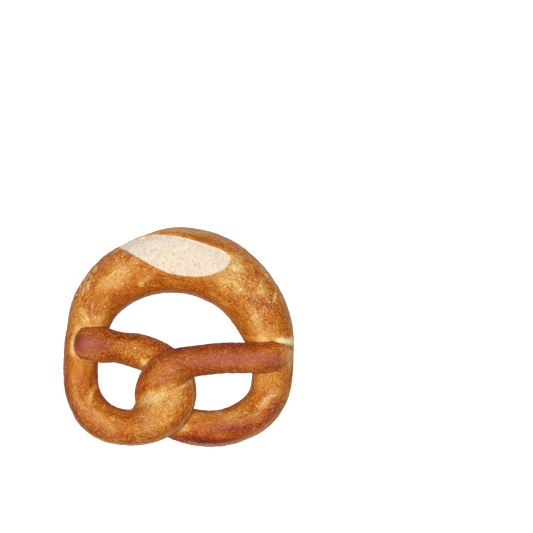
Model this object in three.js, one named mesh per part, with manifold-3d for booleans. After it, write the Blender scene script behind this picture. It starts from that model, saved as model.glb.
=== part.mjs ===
// A baked soft pretzel, one rope of dough twisted twice over itself.
// Millimetres, +Z up. The pretzel lies flat on z = 0 with the fat belly towards +Y,
// the knot towards -Y, and the origin under the middle of its bounding box.
import * as THREE from "three";
import { mergeVertices } from "three/addons/utils/BufferGeometryUtils.js";
import Module from "manifold-3d";

const wasm = await Module();
wasm.setup();

// Driving dimensions.
const RING_SIDES = 28; // corners of one cross-section
const RING_STEP = 4.3; // distance between cross-sections along the rope
const WIDEST_AT = 0.42; // share of a section's height at which it is widest
const FOOT_POWER = 2.5; // how square the lower half of a section is, 2 is an ellipse
const LEFT_END = { length: 8.4, blunt: 2.8 }; // how far it runs past its last station, and how bluntly
const RIGHT_END = { length: 2.4, blunt: 2.0 };
const END_RINGS = 6;
const SPLIT_DEPTH = 1.3; // the pale crumb lies this far under the crust
const SPLIT_FROM = 16; // the split runs down the belly's outer side to this height
const TRAY = 30; // depth of the block that trims the underside flat

// The rope's stations, from the left end to the right one. Each gives the middle of the
// rope seen from above, its width, how high its underside rides, and its height.
// The underside is pressed 1 mm into the tray where the ride is -1.
const station = (x, y, width, ride, height) => ({ x, y, width, ride, height });

const LEFT_ARM = [
  station(-57.6, -3.2, 20.8, 10.8, 18.0), // left end, on the left side
  station(-48.4, -4.8, 22.5, 9.8, 19.0),
  station(-38.8, -6.4, 20.3, 6.0, 18.5),
  station(-27.0, -8.9, 22.3, 1.5, 18.0),
  station(-14.8, -13.5, 22.4, -1.0, 17.5),
  station(-4.0, -21.0, 21.0, -1.0, 17.5), // under the right arm
];
const KNOT_RIGHT = station(-0.6, -34.2, 24.2, 2.5, 21.0); // the knot's right side
const LEFT_LOOP = [
  station(-6.2, -46.8, 27.4, 9.0, 20.5), // over the right loop
  station(-19.2, -55.7, 25.2, 5.5, 20.5),
  station(-34.5, -58.7, 23.2, -0.5, 19.5),
  station(-51.2, -53.5, 23.8, -1.0, 19.5),
  station(-62.0, -38.5, 22.3, -1.0, 19.5),
  station(-64.0, -19.0, 21.9, -1.0, 20.0),
  station(-61.0, 1.0, 25.2, -1.0, 21.5),
  station(-53.3, 22.2, 30.6, -1.0, 25.0),
  station(-39.4, 37.2, 35.4, -1.0, 28.5),
  station(-18.2, 47.2, 38.8, -1.0, 31.0),
];
const BELLY_TOP = station(4.0, 50.0, 42.8, -1.0, 32.5); // the belly's fattest place
const RIGHT_LOOP = [
  station(25.5, 43.7, 42.2, -1.0, 32.0),
  station(43.6, 29.3, 38.9, -1.0, 30.0),
  station(56.1, 8.5, 34.8, -1.0, 27.0),
  station(60.8, -12.4, 27.4, -1.0, 23.5),
  station(58.2, -37.8, 25.4, -1.0, 21.5),
  station(47.6, -50.9, 24.6, -1.0, 21.0),
  station(29.5, -58.7, 23.6, -1.0, 20.5),
  station(11.0, -58.9, 23.3, -1.0, 18.5),
  station(-6.4, -53.4, 21.4, -1.0, 16.0), // under the left loop
];
const KNOT_LEFT = station(-18.0, -41.0, 20.4, -0.5, 18.5); // the knot's left side
const RIGHT_ARM = [
  station(-14.9, -26.9, 20.1, 7.5, 20.0),
  station(-4.2, -18.2, 20.6, 11.5, 19.0), // over the left arm
  station(10.0, -15.1, 19.9, 8.5, 18.5),
  station(28.0, -13.5, 20.0, 4.0, 18.5),
  station(46.0, -12.9, 19.6, 9.5, 18.5),
  station(56.0, -12.0, 20.0, 12.2, 17.5),
  station(62.4, -11.0, 19.4, 12.8, 16.5),
  station(67.8, -10.3, 15.0, 12.4, 14.0),
  station(71.8, -9.6, 8.6, 12.4, 11.0), // right end, on the right side
];
const ROPE = [
  ...LEFT_ARM,
  KNOT_RIGHT,
  ...LEFT_LOOP,
  BELLY_TOP,
  ...RIGHT_LOOP,
  KNOT_LEFT,
  ...RIGHT_ARM,
];

// Edges of the split across the belly, from its left tip to its right one.
const SPLIT_OUTER_EDGE = [
  [-40, 61],
  [-30, 63],
  [-22, 64.9],
  [-14, 66.2],
  [-4, 65.7],
  [8, 63.4],
  [22, 58.9],
  [30.5, 55.3],
  [34.6, 50.6],
];
const SPLIT_INNER_EDGE = [
  [31, 45],
  [20, 40.2],
  [8, 39.7],
  [-5, 41.8],
  [-15, 46],
  [-25, 51.5],
  [-33, 56],
  [-37.6, 58.2],
];

// The rope's path and its section sizes, both running from 0 at the left end to 1.
const path = new THREE.CatmullRomCurve3(
  ROPE.map((s) => new THREE.Vector3(s.x, s.y, s.ride)),
  false,
  "centripetal",
);
const sizes = new THREE.CatmullRomCurve3(
  ROPE.map((s) => new THREE.Vector3(s.width, s.height, 0)),
  false,
  "centripetal",
);
const placeOf = (s) => ROPE.indexOf(s) / (ROPE.length - 1);

// The rope at t: its middle, the direction it runs seen from above, and its section.
function ropeAt(t) {
  const spot = path.getPoint(t);
  const size = sizes.getPoint(t);
  const along = path.getTangent(t).setZ(0).normalize();
  return { x: spot.x, y: spot.y, ride: spot.z, width: size.x, height: size.y, along };
}

// One cross-section: half an ellipse above its widest level, and squarer below it.
function ring(rope, inset = 0) {
  const across = new THREE.Vector3(-rope.along.y, rope.along.x, 0);
  const half = rope.width / 2 - inset;
  const height = rope.height - inset;
  const level = rope.ride + WIDEST_AT * rope.height;
  const corners = [];
  for (let i = 0; i < RING_SIDES; i++) {
    const turn = (i / RING_SIDES) * 2 * Math.PI;
    const side = Math.cos(turn);
    const rise = Math.sin(turn);
    const lower = rise < -1e-9;
    const power = lower ? 2 / FOOT_POWER : 1;
    const out = Math.sign(side) * Math.abs(side) ** power * half;
    const up = lower
      ? -(Math.abs(rise) ** power) * WIDEST_AT * rope.height
      : rise * (height - WIDEST_AT * rope.height);
    corners.push(new THREE.Vector3(rope.x, rope.y, level + up).addScaledVector(across, out));
  }
  return corners;
}

// Rings from one place on the rope to another, both ends included.
function ringsBetween(from, to, inset = 0) {
  const length = (to - from) * path.getLength();
  const steps = Math.max(2, Math.round(length / RING_STEP));
  const rings = [];
  for (let i = 0; i <= steps; i++) rings.push(ring(ropeAt(from + ((to - from) * i) / steps), inset));
  return rings;
}

// The rings of a rounded end, from just past the last station out towards the tip.
function endRings(t, { length, blunt }, outward) {
  const end = ropeAt(t);
  const rings = [];
  for (let i = 1; i <= END_RINGS; i++) {
    const past = Math.sin((i / (END_RINGS + 0.4)) * (Math.PI / 2));
    const share = Math.sqrt(1 - past ** blunt);
    const level = end.ride + WIDEST_AT * end.height;
    rings.push(
      ring({
        x: end.x + outward * end.along.x * past * length,
        y: end.y + outward * end.along.y * past * length,
        ride: level - WIDEST_AT * end.height * share,
        width: end.width * share,
        height: end.height * share,
        along: end.along,
      }),
    );
  }
  return rings;
}

// A closed mesh through the rings, each end shut by a fan round its own middle.
function loft(rings) {
  const corners = rings.flat();
  const faces = [];
  const n = RING_SIDES;
  for (let r = 0; r + 1 < rings.length; r++)
    for (let i = 0; i < n; i++) {
      const a = r * n + i;
      const b = r * n + ((i + 1) % n);
      faces.push([a, b, a + n], [b, b + n, a + n]);
    }
  for (const [r, flip] of [[0, true], [rings.length - 1, false]]) {
    const middle = new THREE.Vector3();
    for (const corner of rings[r]) middle.addScaledVector(corner, 1 / n);
    const hub = corners.push(middle) - 1;
    for (let i = 0; i < n; i++) {
      const a = r * n + i;
      const b = r * n + ((i + 1) % n);
      faces.push(flip ? [b, a, hub] : [a, b, hub]);
    }
  }
  const geometry = new THREE.BufferGeometry().setFromPoints(corners);
  geometry.setIndex(faces.flat());
  return geometry;
}

function solid(geometry) {
  const bare = geometry.clone();
  bare.deleteAttribute("normal");
  bare.deleteAttribute("uv");
  const merged = mergeVertices(bare, 1e-4);
  const made = new wasm.Manifold(
    new wasm.Mesh({
      numProp: 3,
      vertProperties: new Float32Array(merged.attributes.position.array),
      triVerts: new Uint32Array(merged.index.array),
    }),
  );
  if (made.volume() > 0) return made;
  const turned = new Uint32Array(merged.index.array);
  for (let i = 0; i < turned.length; i += 3) [turned[i + 1], turned[i + 2]] = [turned[i + 2], turned[i + 1]];
  return new wasm.Manifold(
    new wasm.Mesh({
      numProp: 3,
      vertProperties: new Float32Array(merged.attributes.position.array),
      triVerts: turned,
    }),
  );
}

function geometryOf(manifold) {
  const mesh = manifold.getMesh();
  const corners = new Float32Array((mesh.vertProperties.length / mesh.numProp) * 3);
  for (let i = 0; i < corners.length / 3; i++)
    for (let k = 0; k < 3; k++) corners[3 * i + k] = mesh.vertProperties[mesh.numProp * i + k];
  const geometry = new THREE.BufferGeometry();
  geometry.setAttribute("position", new THREE.BufferAttribute(corners, 3));
  geometry.setIndex(new THREE.BufferAttribute(new Uint32Array(mesh.triVerts), 1));
  geometry.computeVertexNormals();
  return geometry;
}

// Four limbs meet end to end at the knot's two sides and at the belly's top,
// so that no limb crosses itself. Joined, they are the whole twisted rope.
const knotRight = placeOf(KNOT_RIGHT);
const bellyTop = placeOf(BELLY_TOP);
const knotLeft = placeOf(KNOT_LEFT);
const limbs = [
  [...endRings(0, LEFT_END, -1).reverse(), ...ringsBetween(0, knotRight)],
  ringsBetween(knotRight, bellyTop),
  ringsBetween(bellyTop, knotLeft),
  [...ringsBetween(knotLeft, 1), ...endRings(1, RIGHT_END, 1)],
];
let dough = limbs.map((rings) => solid(loft(rings))).reduce((whole, limb) => whole.add(limb));

// The strands are pressed together, so a pocket shut in between them is filled with dough.
dough = dough.decompose().reduce((a, b) => (a.volume() > b.volume() ? a : b));

// The underside is flat where the dough lay on the tray.
const tray = new THREE.BoxGeometry(200, 200, TRAY).translate(0, 0, -TRAY / 2);
dough = dough.subtract(solid(tray));

// The split: the crust is opened over a lens on the belly, down to crumb that
// follows the belly's own form a little deeper.
const lens = new THREE.Shape();
lens.moveTo(...SPLIT_OUTER_EDGE[0]);
lens.splineThru(SPLIT_OUTER_EDGE.slice(1).map(([x, y]) => new THREE.Vector2(x, y)));
lens.splineThru([...SPLIT_INNER_EDGE, SPLIT_OUTER_EDGE[0]].map(([x, y]) => new THREE.Vector2(x, y)));
const opening = new THREE.ExtrudeGeometry(lens, {
  depth: 30,
  curveSegments: 5,
  bevelEnabled: false,
}).translate(0, 0, SPLIT_FROM);
const besideBelly = 3.4 / (ROPE.length - 1);
const crumb = solid(loft(ringsBetween(bellyTop - besideBelly, bellyTop + besideBelly, SPLIT_DEPTH)));
dough = dough.subtract(solid(opening).subtract(crumb));

const pretzel = new THREE.Mesh(
  geometryOf(dough),
  new THREE.MeshStandardMaterial({ color: 0xb9703a, roughness: 0.45, metalness: 0 }),
);
pretzel.name = "pretzel";

const part = new THREE.Group();
part.add(pretzel);
export default part;
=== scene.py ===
import math

import bpy
import numpy as np
import openvdb
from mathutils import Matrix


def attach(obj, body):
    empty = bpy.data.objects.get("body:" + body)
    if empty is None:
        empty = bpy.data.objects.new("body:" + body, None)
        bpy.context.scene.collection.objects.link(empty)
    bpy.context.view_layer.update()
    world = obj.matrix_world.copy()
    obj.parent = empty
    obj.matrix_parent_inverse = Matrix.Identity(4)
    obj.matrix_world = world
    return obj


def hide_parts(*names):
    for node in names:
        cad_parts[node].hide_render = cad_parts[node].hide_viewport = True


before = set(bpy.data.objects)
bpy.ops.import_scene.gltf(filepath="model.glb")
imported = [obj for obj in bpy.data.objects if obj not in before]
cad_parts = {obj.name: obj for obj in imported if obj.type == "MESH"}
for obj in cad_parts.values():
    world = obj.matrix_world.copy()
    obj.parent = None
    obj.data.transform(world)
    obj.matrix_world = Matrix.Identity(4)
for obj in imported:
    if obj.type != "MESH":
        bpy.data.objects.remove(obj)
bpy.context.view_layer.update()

MM = 0.001
FAR_OFF = 1e9  # stands for a place beyond everything
ALMOST_NONE = 1e-9  # keeps a divisor from being nothing

# ---------------------------------------------------------------- the rope of dough
# One rope, from its left end to its right one. Each row gives the middle of the rope
# seen from above, its width, how high its underside rides, and its height, in mm.
ROPE = [
    (-57.6, -3.2, 20.8, 10.8, 18.0),  # left end, on the left side
    (-48.4, -4.8, 22.5, 9.8, 19.0),
    (-38.8, -6.4, 20.3, 6.0, 18.5),
    (-27.0, -8.9, 22.3, 1.5, 18.0),
    (-14.8, -13.5, 22.4, -1.0, 17.5),
    (-4.0, -21.0, 21.0, -1.0, 17.5),  # under the right arm
    (-0.6, -34.2, 24.2, 2.5, 21.0),  # the knot's right side
    (-6.2, -46.8, 27.4, 9.0, 20.5),  # over the right loop
    (-19.2, -55.7, 25.2, 5.5, 20.5),
    (-34.5, -58.7, 23.2, -0.5, 19.5),
    (-51.2, -53.5, 23.8, -1.0, 19.5),
    (-62.0, -38.5, 22.3, -1.0, 19.5),
    (-64.0, -19.0, 21.9, -1.0, 20.0),
    (-61.0, 1.0, 25.2, -1.0, 21.5),
    (-53.3, 22.2, 30.6, -1.0, 25.0),
    (-39.4, 37.2, 35.4, -1.0, 28.5),
    (-18.2, 47.2, 38.8, -1.0, 31.0),
    (4.0, 50.0, 42.8, -1.0, 32.5),  # the belly's fattest place
    (25.5, 43.7, 42.2, -1.0, 32.0),
    (43.6, 29.3, 38.9, -1.0, 30.0),
    (56.1, 8.5, 34.8, -1.0, 27.0),
    (60.8, -12.4, 27.4, -1.0, 23.5),
    (58.2, -37.8, 25.4, -1.0, 21.5),
    (47.6, -50.9, 24.6, -1.0, 21.0),
    (29.5, -58.7, 23.6, -1.0, 20.5),
    (11.0, -58.9, 23.3, -1.0, 18.5),
    (-6.4, -53.4, 21.4, -1.0, 16.0),  # under the left loop
    (-18.0, -41.0, 20.4, -0.5, 18.5),  # the knot's left side
    (-14.9, -26.9, 20.1, 7.5, 20.0),
    (-4.2, -18.2, 20.6, 11.5, 19.0),  # over the left arm
    (10.0, -15.1, 19.9, 8.5, 18.5),
    (28.0, -13.5, 20.0, 4.0, 18.5),
    (46.0, -12.9, 19.6, 9.5, 18.5),
    (56.0, -12.0, 20.0, 12.2, 17.5),
    (62.4, -11.0, 19.4, 12.8, 16.5),
    (67.8, -10.1, 14.6, 12.4, 14.0),
    (71.8, -9.2, 6.4, 12.4, 10.6),  # right end, on the right side
]
KNOT_RIGHT, BELLY_TOP, KNOT_LEFT, RIGHT_END = 6, 17, 27, 36
LIMBS = {
    "left arm": (0, KNOT_RIGHT + 0.6),
    "left loop": (KNOT_RIGHT - 0.6, BELLY_TOP + 0.5),
    "right loop": (BELLY_TOP - 0.5, KNOT_LEFT + 0.6),
    "right arm": (KNOT_LEFT - 0.6, RIGHT_END),
}
END_DOME = {"left arm": (8.4, 2.8), "right arm": (2.4, 2.0)}  # length, and how blunt
WIDEST_AT = 0.42  # share of a section's height at which it is widest
FOOT_POWER = 2.5  # how square a section's lower half is
STEPS = 24  # samples between two stations
TOUCHING = 1e-4  # a gap between two rows that counts as none
BATCH = 20000  # places worked out at a time, to spare memory
STRANGERS = (18, 40)  # mm apart along the rope at which two limbs start to crease, and fully do
FARTHEST = 30.0  # no limb's reach is counted past this many mm
LEAST_SLOPE = 0.02  # nor any slope of it below this
PAST_OPEN_END = 4  # how fast the reach grows where a limb runs on into the next one
FOOT_ROUNDING = 2.0  # how softly the flanks meet the tray

# The split across the belly: crust torn open down to pale crumb.
SPLIT_OUTER_EDGE = [
    (-40, 61),
    (-30, 63),
    (-22, 64.9),
    (-14, 66.2),
    (-4, 65.7),
    (8, 63.4),
    (22, 58.9),
    (30.5, 55.3),
    (34.6, 50.6),
]
SPLIT_INNER_EDGE = [
    (31, 45),
    (20, 40.2),
    (8, 39.7),
    (-5, 41.8),
    (-15, 46),
    (-25, 51.5),
    (-33, 56),
    (-37.6, 58.2),
]
SPLIT_DEPTH = 1.3
SPLIT_FROM = 10.0  # the split runs down the belly's outer side to this height
SPLIT_FADE = (2, 9)  # and deepens between these heights above it
SPLIT_EDGE = (-0.9, 0.3)  # it sinks from this far outside its outline to this far inside
LIP_OUT, LIP_WIDTH, LIP_HEIGHT = 1.9, 1.0, 0.35  # the raised lip round it
SPLIT_STEPS = 12  # samples between two points of its outline

GRID = 0.83  # mm between the samples that the skin is drawn through
GRID_LOW = np.array([-78.0, -75.0, -1.7])
GRID_HIGH = np.array([78.0, 75.0, 34.5])
GRID_REACH = 3.0  # the samples count no farther from the surface than this
SETTLING_ROUNDS, LONGEST_MOVE, GENTLEST_SLOPE = 2, 0.4, 0.3  # how points settle onto it


def centripetal(rows, steps):
    """A smooth curve through the rows, with that many samples between each two."""
    rows = np.asarray(rows, float)
    before = np.vstack([2 * rows[0] - rows[1], rows[:-1]])
    after = np.vstack([rows[1:], 2 * rows[-1] - rows[-2]])
    out = []
    for i in range(len(rows) - 1):
        p0, p1, p2, p3 = before[i], rows[i], rows[i + 1], after[i + 1]
        gaps = [math.sqrt(np.linalg.norm(b - a)) for a, b in ((p0, p1), (p1, p2), (p2, p3))]
        middle = gaps[1] if gaps[1] > TOUCHING else 1.0
        first = gaps[0] if gaps[0] > TOUCHING else middle
        last = gaps[2] if gaps[2] > TOUCHING else middle
        leave = ((p1 - p0) / first - (p2 - p0) / (first + middle) + (p2 - p1) / middle) * middle
        reach = ((p2 - p1) / middle - (p3 - p1) / (middle + last) + (p3 - p2) / last) * middle
        for k in range(steps):
            f = k / steps
            bend = f * f * (-3 * p1 + 3 * p2 - 2 * leave - reach)
            out.append(p1 + f * leave + bend + f**3 * (2 * p1 - 2 * p2 + leave + reach))
    out.append(rows[-1])
    return np.array(out)


def smoothstep(low, high, x):
    """0 on low's side, 1 on high's side, and a smooth step between them."""
    f = np.clip((x - low) / (high - low), 0, 1)
    return f * f * (3 - 2 * f)


class Rope:
    """The rope's samples: place, direction, section and length along it."""

    spots = centripetal([(x, y, ride) for x, y, _, ride, _ in ROPE], STEPS)
    sizes = centripetal([(width, height) for _, _, width, _, height in ROPE], STEPS)
    place = spots[:, :2]
    along = np.gradient(place, axis=0)
    along /= np.linalg.norm(along, axis=1)[:, None]
    across = np.column_stack([-along[:, 1], along[:, 0]])
    half = sizes[:, 0] / 2
    level = spots[:, 2] + WIDEST_AT * sizes[:, 1]
    rise = (1 - WIDEST_AT) * sizes[:, 1]
    drop = WIDEST_AT * sizes[:, 1]
    run = np.concatenate([[0], np.cumsum(np.linalg.norm(np.diff(place, axis=0), axis=1))])


def beside(limb, spots):
    """For places seen from above: how they lie beside that limb of the rope."""
    first, last = (int(round(end * STEPS)) for end in LIMBS[limb])
    samples = Rope.place[first : last + 1]
    nearest = np.empty(len(spots), int)
    for start in range(0, len(spots), BATCH):
        part = spots[start : start + BATCH]
        gaps = (part[:, None, 0] - samples[None, :, 0]) ** 2
        gaps += (part[:, None, 1] - samples[None, :, 1]) ** 2
        nearest[start : start + BATCH] = gaps.argmin(1)
    nearest += first
    offset = ((spots - Rope.place[nearest]) * Rope.along[nearest]).sum(1)
    step = np.where(offset > 0, 1, -1)
    other = np.clip(nearest + step, first, last)
    gap = np.abs(Rope.run[other] - Rope.run[nearest])
    inside = gap > 0
    f = np.where(inside, np.clip(np.abs(offset) / np.where(inside, gap, 1), 0, 1), 0)

    def between(values):
        g = f[:, None] if values.ndim == 2 else f
        return values[nearest] * (1 - g) + values[other] * g

    place, across = between(Rope.place), between(Rope.across)
    past = np.where(inside, 0, np.abs(offset))
    return {
        "side": ((spots - place) * across).sum(1),
        "past": past,
        "run": between(Rope.run),
        "half": between(Rope.half),
        "level": between(Rope.level),
        "rise": between(Rope.rise),
        "drop": between(Rope.drop),
        "station": (nearest + f * step) / STEPS,
        "dome": END_DOME.get(limb),
        "open_end": nearest == (last if limb == "left arm" else first),
    }


def spread(values, height):
    """Values for places seen from above, made to fit heights given as a column over each."""
    return values[:, None] if height.ndim == 2 else values


def reach(place, height):
    """About how far points lie outside a limb, in mm, negative inside."""

    def at(key):
        return spread(place[key], height)

    up = height - at("level")
    upper = up > 0
    power = np.where(upper, 2.0, FOOT_POWER)
    tall = np.where(upper, at("rise"), at("drop"))
    half = at("half")
    side = np.abs(at("side")) / half
    rise = np.abs(up) / tall
    past = at("past")
    dome, blunt = place["dome"] or (1.0, 2.0)
    closed = ~at("open_end") & (place["dome"] is not None)
    end = np.where(closed, past / dome, 0)
    whole = np.maximum(side**power + rise**power + end**blunt, 1e-6)
    radius = whole ** (1 / power)
    slope = (side ** (power - 1) / half) ** 2 + (rise ** (power - 1) / tall) ** 2
    slope = slope + (blunt / power * end ** (blunt - 1) / dome) ** 2
    slope = np.sqrt(np.maximum(slope, ALMOST_NONE)) * radius ** (1 - power)
    away = np.clip((radius - 1) / np.maximum(slope, LEAST_SLOPE), -FARTHEST, FARTHEST)
    return np.where(closed | (past <= 0), away, np.maximum(away, past * PAST_OPEN_END))


# Places where the dough has run together while it rose: x, y, reach and how softly.
FUSED = [
    (-8.0, -34.0, 13.0, 14.0),
    (-21.0, -40.0, 8.0, 7.0),
    (-27.5, -46.0, 4.0, 7.0),
    (9.0, -47.0, 3.0, 2.5),
    (67.0, -20.0, 7.0, 3.2),
    (-70.0, -4.0, 6.0, 2.6),
]
CREASE = 1.1


def softness(spots):
    """How softly the limbs run together at places seen from above."""
    soft = np.full(len(spots), CREASE)
    for x, y, size, amount in FUSED:
        gap = np.hypot(spots[:, 0] - x, spots[:, 1] - y)
        near = 1 - smoothstep(0.5 * size, 1.6 * size, gap)
        soft = np.maximum(soft, CREASE + (amount - CREASE) * near)
    return soft


def split_edge():
    """The split's outline as a closed run of points."""
    outer = centripetal(SPLIT_OUTER_EDGE, SPLIT_STEPS)
    way_back = [SPLIT_OUTER_EDGE[-1], *SPLIT_INNER_EDGE, SPLIT_OUTER_EDGE[0]]
    return np.vstack([outer, centripetal(way_back, SPLIT_STEPS)[1:-1]])


def inside_split(spots):
    """How far places lie inside the split's outline, in mm, negative outside."""
    edge = split_edge()
    ahead = np.roll(edge, -1, axis=0)
    best = np.full(len(spots), FAR_OFF)
    odd = np.zeros(len(spots), bool)
    for a, b in zip(edge, ahead):
        run = b - a
        f = np.clip(((spots - a) @ run) / (run @ run), 0, 1)
        best = np.minimum(best, np.hypot(*(spots - a - f[:, None] * run).T))
        rises = (a[1] > spots[:, 1]) != (b[1] > spots[:, 1])
        climb = run[1] if abs(run[1]) > ALMOST_NONE else ALMOST_NONE
        crossing = a[0] + (spots[:, 1] - a[1]) / climb * run[0]
        odd ^= rises & (spots[:, 0] < crossing)
    return np.where(odd, best, -best)


def joined(a, b, soft):
    """Two reaches joined, rounded where they meet."""
    soft = np.maximum(soft, 1e-4)
    meet = np.maximum(soft - np.abs(a - b), 0) / soft
    return np.minimum(a, b) - meet * meet * soft / 4


def dough(places, height, soft, split):
    """How far points lie outside the dough, and outside each limb."""
    reaches = {limb: reach(places[limb], height) for limb in LIMBS}

    def rounding(a, b):
        """None where one limb runs on into the other, and full where they are strangers."""
        apart = np.abs(places[a]["run"] - places[b]["run"])
        return spread(soft * smoothstep(*STRANGERS, apart), height)

    def side(arm, loop):
        return joined(reaches[arm], reaches[loop], rounding(arm, loop))

    left, right = side("left arm", "left loop"), side("right arm", "right loop")
    whole = joined(left, right, rounding("left loop", "right loop"))
    upper = smoothstep(SPLIT_FROM + SPLIT_FADE[0], SPLIT_FROM + SPLIT_FADE[1], height)
    split = spread(split, height)
    opened = smoothstep(*SPLIT_EDGE, split) * upper
    lip = np.exp(-(((split + LIP_OUT) / LIP_WIDTH) ** 2)) * upper
    whole = whole + SPLIT_DEPTH * opened - LIP_HEIGHT * lip
    tray = -height
    meet = np.maximum(FOOT_ROUNDING - np.abs(whole - tray), 0) / FOOT_ROUNDING
    return np.maximum(whole, tray) + meet * meet * FOOT_ROUNDING / 4, reaches


def settled(points, away):
    """The points moved onto the dough's true surface, along the grid's own slope."""
    count = np.array(away.shape)
    slope = np.stack(np.gradient(away, GRID), -1)
    for _ in range(SETTLING_ROUNDS):
        cell = (points - GRID_LOW) / GRID
        base = np.clip(np.floor(cell).astype(int), 0, count - 2)
        f = cell - base
        lean = np.zeros_like(points)
        for corner in np.ndindex(2, 2, 2):
            share = np.prod(np.where(corner, f, 1 - f), axis=1)
            lean += share[:, None] * slope[tuple((base + corner).T)]
        lean /= np.maximum(np.linalg.norm(lean, axis=1), GENTLEST_SLOPE)[:, None] ** 2
        move = np.clip(field(points)[0], -LONGEST_MOVE, LONGEST_MOVE)
        points = points - lean * move[:, None]
    return points


def field(points):
    """How far points lie outside the dough, how they lie beside each limb, and outside it."""
    spots = points[:, :2]
    places = {limb: beside(limb, spots) for limb in LIMBS}
    away, reaches = dough(places, points[:, 2], softness(spots), inside_split(spots))
    return away, places, reaches


def skin():
    """The dough's surface as points and four-sided faces, in mm."""
    count = np.ceil((GRID_HIGH - GRID_LOW) / GRID).astype(int) + 1
    xs, ys, zs = (GRID_LOW[i] + GRID * np.arange(count[i]) for i in range(3))
    spots = np.stack(np.meshgrid(xs, ys, indexing="ij"), -1).reshape(-1, 2)
    places = {limb: beside(limb, spots) for limb in LIMBS}
    height = np.broadcast_to(zs[None, :], (len(spots), len(zs)))
    away, _ = dough(places, height, softness(spots), inside_split(spots))
    away = np.clip(away, -GRID_REACH, GRID_REACH).reshape(count)
    grid = openvdb.FloatGrid(background=GRID_REACH)
    grid.copyFromArray(away.astype(np.float32))
    points, faces = grid.convertToQuads(isovalue=0.0)
    return settled(points * GRID + GRID_LOW, away), faces


# ---------------------------------------------------------------- how the dough baked, with painted sheen and shade
# How browned the crust is along the rope, from 0 for raw-looking dough to 1 for the darkest
# crust: station, then on the right of the way, on the crest, and on the left of the way.
BAKING = [
    (0, 0.62, 0.83, 0.66),
    (1, 0.62, 0.75, 0.70),
    (2, 0.64, 0.61, 0.70),
    (3.3, 0.62, 0.50, 0.66),
    (4.3, 0.72, 0.66, 0.70),
    (6, 0.40, 0.44, 0.58),
    (7, 0.40, 0.48, 0.60),
    (8, 0.56, 0.52, 0.62),
    (9.5, 0.60, 0.60, 0.64),
    (11, 0.64, 0.54, 0.68),
    (12.5, 0.58, 0.50, 0.58),
    (14, 0.58, 0.50, 0.54),
    (15.5, 0.66, 0.50, 0.50),
    (17, 0.67, 0.52, 0.52),
    (18.5, 0.66, 0.50, 0.56),
    (20, 0.64, 0.54, 0.60),
    (21.5, 0.56, 0.52, 0.57),
    (23, 0.56, 0.62, 0.72),
    (24.5, 0.57, 0.66, 0.80),
    (26, 0.56, 0.60, 0.72),
    (26.8, 0.50, 0.42, 0.50),
    (27.4, 0.56, 0.48, 0.56),
    (28.2, 0.66, 0.64, 0.66),
    (30, 0.72, 0.73, 0.71),
    (32, 0.68, 0.69, 0.68),
    (34, 0.66, 0.71, 0.63),
    (36, 0.58, 0.56, 0.56),
]
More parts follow.
